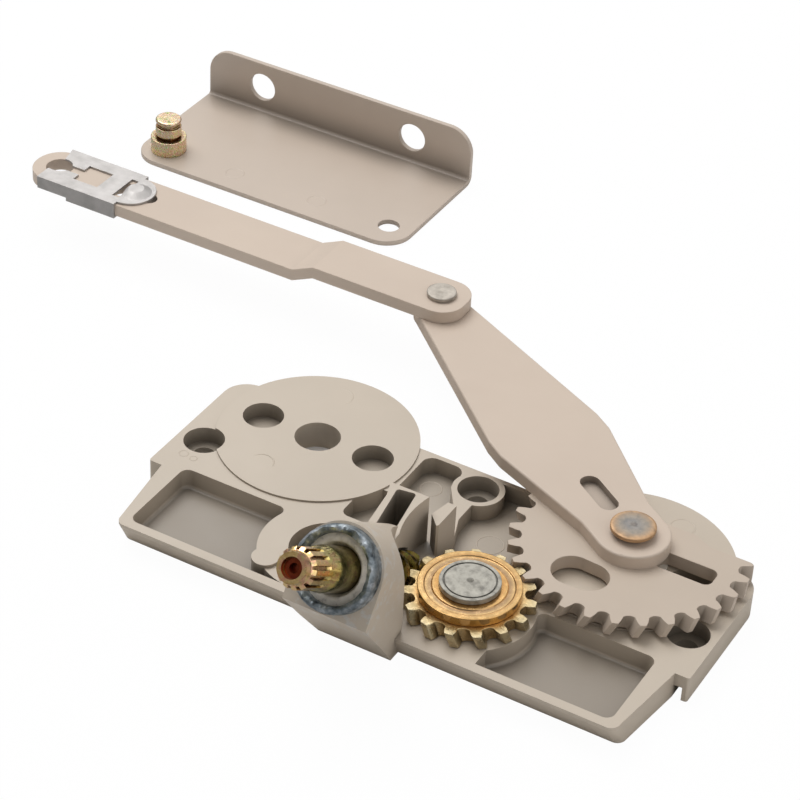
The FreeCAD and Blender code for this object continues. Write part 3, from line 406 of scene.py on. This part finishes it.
def platedGold(name, look):
    g = goldFields
    mat, tree, shader, coord = newFinish(name)
    patches = noiseField(tree, coord, look["patchScale"], *g["patch"])
    colour = rampOf(tree, patches, look["stops"])
    film = noiseField(tree, coord, look["patchScale"] * g["filmStep"], *g["film"])
    veil = greyRamp(tree, film, [(g["filmLow"], 0.0), (g["filmHigh"], look["film"])])
    colour = mixColour(tree, veil, colour, look["filmColour"])
    if "rings" in look:
        span = spread(tree, radiusFrom(tree, coord, *look["centre"]), 0.0, look["radius"], 0.0, 1.0)
        colour = mixColour(tree, look["ringShare"], colour, rampOf(tree, span, look["rings"]))
    if "bands" in look:
        reach = along(tree, coord, look["tip"], look["inward"])
        span = spread(tree, reach, g["bandStart"], look["bandLength"], 0.0, 1.0)
        colour = mixColour(tree, 1.0, colour, rampOf(tree, span, look["bands"]), "MULTIPLY")
        radius = offAxis(tree, coord, look["tip"], look["inward"])
        inCore = spread(tree, radius, look["core"] - g["coreBlend"], look["core"], 1.0, 0.0)
        colour = mixColour(tree, inCore, colour, look["coreColour"], "MULTIPLY")
    # painted shade: hollows are mixed towards a dark colour given for each gold
    paintedShade = shadeInHollows(tree, look["reach"], look["paintedShade"])
    colour = mixColour(tree, paintedShade, look["paintedShadeColour"], colour)
    tree.links.new(colour, shader.inputs["Base Color"])
    shader.inputs["Metallic"].default_value = look["metallic"]
    grain = noiseField(tree, coord, look["grainScale"], *g["grain"])
    roughFrom(tree, shader, grain, look["rough"], g["roughLess"], g["roughMore"])
    bumpFrom(tree, shader, grain, look["bump"])
    return mat


metalFields = {
    "patch": (5, 0.6),
    "grain": (4, 0.6),
    "roughLess": 0.08,
    "roughMore": 0.1,
    # reach in mm and stops of the painted shade in hollows
    "reach": 1.5,
    "paintedShade": [(0.3, 0.25), (0.75, 0.8), (0.95, 1.0)],
}


def bareMetal(name, look):
    m = metalFields
    mat, tree, shader, coord = newFinish(name)
    patches = noiseField(tree, coord, look["patchScale"], *m["patch"])
    colour = rampOf(tree, patches, look["stops"])
    if "rings" in look:
        radius = radiusFrom(tree, coord, *look["centre"])
        ragged = mathNode(tree, "ADD", radius, mathNode(tree, "MULTIPLY", patches, look["swirl"]))
        span = spread(tree, ragged, 0.0, look["radius"], 0.0, 1.0)
        colour = mixColour(tree, look["ringShare"], colour, rampOf(tree, span, look["rings"]))
    # painted shade in creases and hollows, multiplied into the colour
    colour = mixColour(tree, 1.0, colour, shadeInHollows(tree, m["reach"], m["paintedShade"]), "MULTIPLY")
    tree.links.new(colour, shader.inputs["Base Color"])
    shader.inputs["Metallic"].default_value = look["metallic"]
    grain = noiseField(tree, coord, look["grainScale"], *m["grain"], look.get("stretch"))
    roughFrom(tree, shader, grain, look["rough"], m["roughLess"], m["roughMore"])
    bumpFrom(tree, shader, grain, look["bump"])
    return mat


# Places that finishes are centred on, in mm
shaftLine = {"tip": (0, -72.5, 37.95), "inward": (0, 0.81106, -0.58496)}
wheelCentre = (16.4, -30.2)
pivotCentre = (37.5, 0.0)

# Painted shade in creases and hollows: how open a spot is, and the share of its colour that is left there
softPaintedShade = [(0.35, 0.38), (0.6, 0.6), (0.85, 0.86), (1.0, 1.0)]
castPaintedShade = [(0.3, 0.42), (0.55, 0.80), (0.78, 1.0), (1.0, 1.0)]

# Each paint's reach and stops set its painted shade in creases and hollows
castingPaint = bakedPaint("castingPaint", {
    "base": (0.535, 0.458, 0.37), "shade": (0.51, 0.437, 0.352), "rough": 0.40, "peel": 0.10, "gloss": 0.5,
    "reach": 12, "paintedShade": castPaintedShade, "recess": 0.54, "recessTop": 2.5,
    "smear": (0.55, 0.53, 0.50), "smearPlace": (2, -56, 24), "smearNear": 9, "smearFar": 17,
    "smearField": (420, 5, 0.65), "smearStops": [(0.52, 0.0), (0.6, 0.75)]})
armPaint = bakedPaint("armPaint", {
    "base": (0.595, 0.49, 0.40), "shade": (0.57, 0.468, 0.382), "rough": 0.48, "peel": 0.08, "gloss": 0.42,
    "reach": 5, "paintedShade": softPaintedShade})
sectorPaint = bakedPaint("sectorPaint", {
    "base": (0.53, 0.44, 0.355), "shade": (0.50, 0.415, 0.335), "rough": 0.46, "peel": 0.10, "gloss": 0.42,
    "reach": 4, "paintedShade": softPaintedShade})
bracketPaint = bakedPaint("bracketPaint", {
    "base": (0.54, 0.452, 0.376), "shade": (0.52, 0.435, 0.36), "rough": 0.38, "peel": 0.08, "gloss": 0.5,
    "reach": 8, "paintedShade": softPaintedShade})
# Each gold's reach, stops and dark colour set its painted shade in hollows
goldZinc = platedGold("goldZinc", {
    "patchScale": 1100, "rough": 0.22, "film": 0.55, "filmColour": (0.92, 0.90, 0.82),
    "stops": [(0.25, (0.16, 0.14, 0.05)), (0.38, (0.42, 0.48, 0.16)), (0.48, (0.78, 0.62, 0.30)),
              (0.56, (0.70, 0.34, 0.28)), (0.64, (0.52, 0.60, 0.24)), (0.75, (0.90, 0.82, 0.60))],
    "metallic": 0.95, "grainScale": 1500, "bump": 0.5, "reach": 1.6, "paintedShade": [(0.45, 0.0), (0.95, 1.0)],
    "paintedShadeColour": (0.20, 0.08, 0.015)})
shaftGold = platedGold("shaftGold", {
    "patchScale": 420, "rough": 0.17, "film": 0.25, "filmColour": (0.86, 0.78, 0.48),
    "stops": [(0.22, (0.34, 0.22, 0.08)), (0.38, (0.72, 0.55, 0.24)), (0.5, (0.92, 0.78, 0.38)),
              (0.6, (0.84, 0.50, 0.36)), (0.7, (0.74, 0.76, 0.36)), (0.82, (0.98, 0.90, 0.62))],
    "metallic": 1.0, "grainScale": 1000, "bump": 0.35, "reach": 1.3, "paintedShade": [(0.35, 0.0), (0.75, 1.0)],
    "paintedShadeColour": (0.10, 0.025, 0.012), "core": 2.15, "coreColour": (0.30, 0.08, 0.07), "bandLength": 24,
    "bands": [(0.0, (1.0, 0.85, 0.75)), (0.08, (1.0, 0.85, 0.8)), (0.14, (1.0, 0.9, 0.85)),
              (0.34, (1.0, 0.92, 0.75)), (0.40, (1.0, 1.0, 0.72)), (0.53, (1.0, 1.0, 0.66)),
              (0.57, (0.40, 0.40, 0.20)), (1.0, (0.28, 0.28, 0.14))], **shaftLine})
wheelGold = platedGold("wheelGold", {
    "patchScale": 420, "rough": 0.30, "film": 0.6, "filmColour": (0.24, 0.21, 0.13),
    "stops": [(0.25, (0.10, 0.07, 0.035)), (0.42, (0.34, 0.26, 0.13)), (0.55, (0.60, 0.48, 0.27)),
              (0.68, (0.48, 0.42, 0.26)), (0.82, (0.74, 0.62, 0.40))],
    "metallic": 0.85, "grainScale": 900, "bump": 0.5, "reach": 2.2, "paintedShade": [(0.4, 0.0), (0.9, 1.0)],
    "paintedShadeColour": (0.05, 0.028, 0.012), "centre": wheelCentre, "radius": 14.0, "ringShare": 0.5,
    "rings": [(0.76, (0.60, 0.32, 0.09)), (0.86, (0.46, 0.34, 0.17)), (1.0, (0.58, 0.50, 0.34))]})
washerGold = platedGold("washerGold", {
    "patchScale": 150, "rough": 0.17, "film": 0.15, "filmColour": (0.62, 0.42, 0.24),
    "stops": [(0.25, (0.30, 0.17, 0.06)), (0.5, (0.58, 0.34, 0.12)), (0.75, (0.66, 0.44, 0.19))],
    "metallic": 1.0, "grainScale": 700, "bump": 0.03, "reach": 1.2, "paintedShade": [(0.3, 0.0), (0.75, 1.0)],
    "paintedShadeColour": (0.12, 0.07, 0.03), "centre": wheelCentre, "radius": 11.0, "ringShare": 0.7,
    "rings": [(0.55, (0.30, 0.17, 0.07)), (0.62, (0.55, 0.30, 0.11)), (0.69, (0.66, 0.42, 0.18)),
              (0.715, (0.30, 0.21, 0.14)), (0.76, (0.40, 0.28, 0.17)), (0.80, (0.60, 0.42, 0.22)),
              (0.85, (0.50, 0.30, 0.13)), (0.91, (0.62, 0.42, 0.20)), (1.0, (0.58, 0.34, 0.12))]})
pinSteel = bareMetal("pinSteel", {
    "patchScale": 520, "grainScale": 1500, "rough": 0.55, "bump": 0.6, "metallic": 0.4,
    "stops": [(0.3, (0.17, 0.16, 0.138)), (0.5, (0.33, 0.315, 0.275)), (0.75, (0.45, 0.43, 0.375))]})
collarSteel = bareMetal("collarSteel", {
    "patchScale": 420, "grainScale": 900, "rough": 0.42, "bump": 0.8, "metallic": 0.7,
    "stops": [(0.3, (0.035, 0.045, 0.055)), (0.45, (0.17, 0.20, 0.22)), (0.56, (0.30, 0.33, 0.35)),
              (0.66, (0.52, 0.56, 0.60)), (0.72, (0.14, 0.16, 0.18))]})
rivetCopper = bareMetal("rivetCopper", {
    "patchScale": 520, "grainScale": 900, "rough": 0.5, "bump": 0.5, "metallic": 0.45,
    "stops": [(0.3, (0.10, 0.085, 0.07)), (0.5, (0.30, 0.24, 0.18)), (0.7, (0.42, 0.36, 0.29))],
    "centre": pivotCentre, "radius": 6.0, "ringShare": 0.62, "swirl": 2.4,
    "rings": [(0.1, (0.22, 0.22, 0.22)), (0.26, (0.10, 0.10, 0.105)), (0.36, (0.22, 0.23, 0.24)),
              (0.5, (0.20, 0.20, 0.20)), (0.66, (0.28, 0.25, 0.21)), (0.82, (0.33, 0.23, 0.15)),
              (0.97, (0.55, 0.30, 0.12))]})
linkPin = bareMetal("linkPin", {
    "patchScale": 600, "grainScale": 1300, "rough": 0.5, "bump": 0.35, "metallic": 0.5,
    "stops": [(0.3, (0.30, 0.27, 0.23)), (0.55, (0.42, 0.38, 0.33)), (0.8, (0.52, 0.47, 0.41))]})
springSteel = bareMetal("springSteel", {
    "patchScale": 300, "grainScale": 1100, "rough": 0.45, "bump": 0.3, "metallic": 0.55,
    "stops": [(0.3, (0.37, 0.355, 0.34)), (0.5, (0.44, 0.42, 0.405)), (0.75, (0.51, 0.49, 0.475))],
    "stretch": (0.12, 1, 1)})
bushFace = bareMetal("bushFace", {
    "patchScale": 700, "grainScale": 1100, "rough": 0.62, "bump": 0.8, "metallic": 0.0,
    "stops": [(0.3, (0.40, 0.37, 0.33)), (0.45, (0.68, 0.63, 0.56)), (0.75, (0.80, 0.75, 0.67))]})
sealRubber = bareMetal("sealRubber", {
    "patchScale": 300, "grainScale": 900, "rough": 0.6, "bump": 0.2, "metallic": 0.0,
    "stops": [(0.3, (0.02, 0.02, 0.02)), (0.7, (0.035, 0.035, 0.035))]})
greasePaste = bareMetal("greasePaste", {
    "patchScale": 700, "grainScale": 1200, "rough": 0.36, "bump": 0.5, "metallic": 0.0,
    "stops": [(0.35, (0.10, 0.07, 0.035)), (0.5, (0.26, 0.21, 0.15)), (0.62, (0.50, 0.46, 0.40))]})
print("finishes made")


# Pieces taken over from the frame, with softened edges. Widths are in mm and angles in degrees.
softening = {
    "mergeGap": 0.001,
    "flatAngle": 1.0,
    "bevelAngle": 28,
    "segments": 2,
    "sharpAngle": 40,
    "flatWeight": 90,
}
softEdges = {
    "base_casting": (castingPaint, 0.35),
    "sector_gear": (sectorPaint, 0.22),
    "drive_arm": (armPaint, 0.12),
    "link_arm": (armPaint, 0.35),
    "end_clip": (springSteel, 0.1),
    "sash_bracket": (bracketPaint, 0.2),
    "bracket_stud": (goldZinc, 0.12),
    "worm_wheel": (wheelGold, 0.15),
    "wheel_washer": (washerGold, 0.3),
    "wheel_pin": (pinSteel, 0.15),
    "pivot_rivet": (rivetCopper, 0.12),
    "link_rivet": (linkPin, 0.2),
    "worm_shaft": (shaftGold, 0.1),
}
plainNodes = {
    "shaft_seal": sealRubber,
    "thrust_washer": pinSteel,
    "rear_bush": bushFace,
    "wheel_spacer": pinSteel,
    "sector_spacer": bushFace,
    "pivot_washer": pinSteel,
}


def takenOver(obj, node):
    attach(obj, frame["nodes"][node].get("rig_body"))
    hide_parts(node)


def addedOnBase(obj):
    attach(obj, "base")


def shadeSmooth(obj):
    obj.data.polygons.foreach_set("use_smooth", [True] * len(obj.data.polygons))
    return obj


def smoothed(obj):
    shadeSmooth(obj)
    obj.data.set_sharp_from_angle(angle=math.radians(softening["sharpAngle"]))
    return obj


def newPiece(name, work, material):
    mesh = bpy.data.meshes.new(name)
    work.to_mesh(mesh)
    work.free()
    mesh.materials.append(material)
    obj = bpy.data.objects.new(name, mesh)
    bpy.context.scene.collection.objects.link(obj)
    return obj


def dressed(node, material, edge):
    work = bmesh.new()
    work.from_mesh(frame["nodes"][node].data)
    bmesh.ops.remove_doubles(work, verts=work.verts, dist=softening["mergeGap"] * mm)
    bmesh.ops.dissolve_limit(work, angle_limit=math.radians(softening["flatAngle"]), verts=work.verts,
                             edges=work.edges, delimit=set())
    obj = smoothed(newPiece(node + "Dressed", work, material))
    bevel = obj.modifiers.new("softEdge", "BEVEL")
    bevel.width = edge * mm
    bevel.segments = softening["segments"]
    bevel.limit_method = "ANGLE"
    bevel.angle_limit = math.radians(softening["bevelAngle"])
    bevel.use_clamp_overlap = True
    weighted = obj.modifiers.new("flatFaces", "WEIGHTED_NORMAL")
    weighted.keep_sharp = True
    weighted.weight = softening["flatWeight"]
    bpy.context.view_layer.update()
    evaluated = obj.evaluated_get(bpy.context.evaluated_depsgraph_get())
    final = bpy.data.meshes.new_from_object(evaluated)
    obj.modifiers.clear()
    obj.data = final
    takenOver(obj, node)


for node, (material, edge) in softEdges.items():
    dressed(node, material, edge)
for node, material in plainNodes.items():
    mesh = frame["nodes"][node].data
    mesh.materials.clear()
    mesh.materials.append(material)
print("pieces dressed:", len(softEdges))


# Rings turned round the shaft line. A row of a ring is its reach from the shaft's tip, its radius and its
# share of the burr. A seed is the first row's, and the step to the next row's.
def burrAt(ring, seeds, angle, k):
    seed, step = ring[seeds]
    total = 0.0
    for scale, size in zip(ring["burrScale"], ring["burr"]):
        place = Vector((math.cos(angle) * scale, math.sin(angle) * scale, seed + step * k))
        total += noise.noise(place) * size
    return total


def shaftRing(rows, count, wobble):
    tip = Vector(shaftLine["tip"])
    inward = Vector(shaftLine["inward"])
    side = Vector((1, 0, 0))
    upward = side.cross(inward) * -1
    work = bmesh.new()
    rings = []
    for i in range(count):
        angle = 2 * math.pi * i / count
        spoke = side * math.cos(angle) + upward * math.sin(angle)
        ring = []
        for k, (reach, radius, share) in enumerate(rows):
            moreReach, moreRadius = wobble(angle, k, share)
            place = tip + inward * (reach + moreReach) + spoke * (radius + moreRadius)
            ring.append(work.verts.new(place * mm))
        rings.append(ring)
    total = len(rows)
    for i in range(count):
        after = rings[(i + 1) % count]
        for k in range(total):
            work.faces.new((rings[i][k], rings[i][(k + 1) % total], after[(k + 1) % total], after[k]))
    bmesh.ops.recalc_face_normals(work, faces=work.faces)
    return work


# The staked collar. Its lip is measured from start and inner, its shoulder from start and outer.
collar = {
    "start": 18.7,
    "end": 22.2,
    "outer": 8.85,
    "inner": 7.12,
    "lip": [(0.9, 0.0, 0.2), (0.35, 0.15, 0.6), (0.1, 0.55, 0.9), (0.0, 0.95, 1.0), (0.3, 1.3, 1.0)],
    "shoulder": [(0.8, -0.1, 0.8), (1.3, 0.0, 0.6)],
    "backEdge": 1.2,
    "backShare": 0.25,
    "burr": (0.42, 0.28, 0.16),  # mm, from broad waves to fine ones
    "burrScale": (1.6, 4.5, 13.0),
    "riseSeed": (1.7, 0.35),
    "shiftSeed": (9.1, 0.45),
    "overhang": 0.5,  # mm that burr may stand out from the lip's own radius
    "count": 240,
}


def collarRows(c):
    rows = [(c["end"], c["inner"], 0.0)]
    rows += [(c["start"] + reach, c["inner"] + radius, share) for reach, radius, share in c["lip"]]
    rows += [(c["start"] + reach, c["outer"] + radius, share) for reach, radius, share in c["shoulder"]]
    rows += [(c["end"] - c["backEdge"], c["outer"], c["backShare"]), (c["end"], c["outer"], 0.0)]
    return rows


def collarWobble(angle, k, share):
    rise = share * burrAt(collar, "riseSeed", angle, k)
    shift = share * burrAt(collar, "shiftSeed", angle, k)
    onLip = k <= len(collar["lip"])
    return rise, min(shift, collar["overhang"] if onLip else 0.0)


work = shaftRing(collarRows(collar), collar["count"], collarWobble)
takenOver(smoothed(newPiece("collarRagged", work, collarSteel)), "retaining_collar")

# The bush. Its mouth is measured from start and from the mouth's radius.
bush = {
    "start": 20.6,
    "end": 32.5,
    "outer": 7.08,
    "mouthRadius": 5.45,
    "inner": 4.68,
    "depth": 1.3,
    "mouth": [(0.25, -0.15, 0.35), (0.0, 0.0, 0.8), (-0.15, 0.5, 1.0), (0.0, 1.0, 0.8)],
    "rim": (0.2, 0.3),
    "burr": (0.18, 0.12),
    "burrScale": (2.5, 9.0),
    "riseSeed": (4.2, 0.3),
    "count": 160,
}


def bushRows(b):
    rimReach, rimShare = b["rim"]
    rows = [(b["end"], b["inner"], 0.0), (b["start"] + b["depth"], b["inner"], 0.0)]
    rows += [(b["start"] + reach, b["mouthRadius"] + radius, share) for reach, radius, share in b["mouth"]]
    rows += [(b["start"] + rimReach, b["outer"], rimShare), (b["end"], b["outer"], 0.0)]
    return rows


def bushWobble(angle, k, share):
    return share * burrAt(bush, "riseSeed", angle, k), 0.0


work = shaftRing(bushRows(bush), bush["count"], bushWobble)
takenOver(smoothed(newPiece("bushMouth", work, bushFace)), "shaft_bush")
print("collar and bush made")


# Small cast and pressed marks that stand a little above the paint. A mark is its middle's x, y and z,
# its radius, half width and rise in mm, and its start and sweep in degrees.
markShape = {
    "sunk": 0.03,
    "shoulder": 0.5,
    "shoulderRise": 0.8,
    "fade": 0.5,
    "stepAngle": 5,
    "fewestSteps": 12,
}
discTop = 6.61
plateTop = 6.2
trayTop = 2.2
bracketTop = 1.3
castMarks = [
    (-42.9, -14.2, discTop, 2.7, 0.22, 0.14, 165, -175),
    (-41.0, 15.2, discTop, 2.9, 0.25, 0.07, 120, -170),
    (42.4, 15.4, discTop, 2.6, 0.22, 0.08, 0, 360),
    (9.1, -7.0, trayTop, 2.9, 0.22, 0.09, 0, 360),
    (-10.6, 2.6, trayTop, 2.4, 0.2, 0.08, 0, 360),
    (-58.6, -20.3, plateTop, 1.0, 0.2, 0.08, 0, 360),
    (-55.9, -20.6, plateTop, 0.8, 0.2, 0.08, 0, 360),
]
pressMarks = [
    (-115.0, 87.6, bracketTop, 2.3, 0.22, 0.06, 0, 360),
    (-91.3, 88.0, bracketTop, 2.3, 0.22, 0.06, 0, 360),
]


def markRing(name, material, mark):
    x, y, z, radius, wide, rise, start, sweep = mark
    sunk = markShape["sunk"]
    shoulder = wide * markShape["shoulder"]
    shoulderRise = rise * markShape["shoulderRise"]
    section = [(-wide, -sunk), (-shoulder, shoulderRise), (0.0, rise), (shoulder, shoulderRise),
               (wide, -sunk)]
    steps = max(markShape["fewestSteps"], int(abs(sweep) / markShape["stepAngle"]))
    closed = abs(sweep) >= 360
    work = bmesh.new()
    rows = []
    for i in range(steps if closed else steps + 1):
        share = i / steps
        angle = math.radians(start + sweep * share)
        fade = 1.0 if closed else math.sin(math.pi * share) ** markShape["fade"]
        row = []
        for across, height in section:
            reach = radius + across
            row.append(work.verts.new(Vector((x + reach * math.cos(angle), y + reach * math.sin(angle),
                                              z - sunk + (height + sunk) * fade)) * mm))
        rows.append(row)
    pairs = list(zip(rows, rows[1:]))
    if closed:
        pairs.append((rows[-1], rows[0]))
    for before, after in pairs:
        for k in range(len(section) - 1):
            work.faces.new((before[k], before[k + 1], after[k + 1], after[k]))
    bmesh.ops.recalc_face_normals(work, faces=work.faces)
    addedOnBase(shadeSmooth(newPiece(name, work, material)))


for index, mark in enumerate(castMarks):
    markRing("castMark%d" % index, castingPaint, mark)
for index, mark in enumerate(pressMarks):
    markRing("pressMark%d" % index, bracketPaint, mark)
print("marks made")


# Grease behind the wheel, as lumps of a place and half sizes in mm, and a seed for their swells
greaseShape = {"rounds": 4, "broadSwell": 0.45, "broadScale": 2.2, "fineSwell": 0.22, "fineScale": 6.5}
greaseLumps = [
    ((5.4, -19.2, 2.5), (2.1, 1.8, 2.3), 1.3),
    ((7.8, -17.4, 2.4), (2.6, 1.5, 1.4), 2.9),
    ((3.4, -22.4, 3.4), (1.7, 1.4, 2.0), 5.1),
    ((11.4, -16.2, 2.3), (1.9, 1.0, 0.7), 7.7),
]


def greaseLump(name, place, size, seed):
    g = greaseShape
    work = bmesh.new()
    bmesh.ops.create_icosphere(work, subdivisions=g["rounds"], radius=1.0)
    for vert in work.verts:
        out = vert.co.normalized()
        swell = 1.0 + g["broadSwell"] * noise.noise(out * g["broadScale"] + Vector((seed, 0, 0)))
        swell += g["fineSwell"] * noise.noise(out * g["fineScale"] + Vector((0, seed, 0)))
        vert.co = Vector([out[i] * swell * size[i] + place[i] for i in range(3)]) * mm
    addedOnBase(shadeSmooth(newPiece(name, work, greasePaste)))


for index, (place, size, seed) in enumerate(greaseLumps):
    greaseLump("greaseLump%d" % index, place, size, seed)
print("grease made")
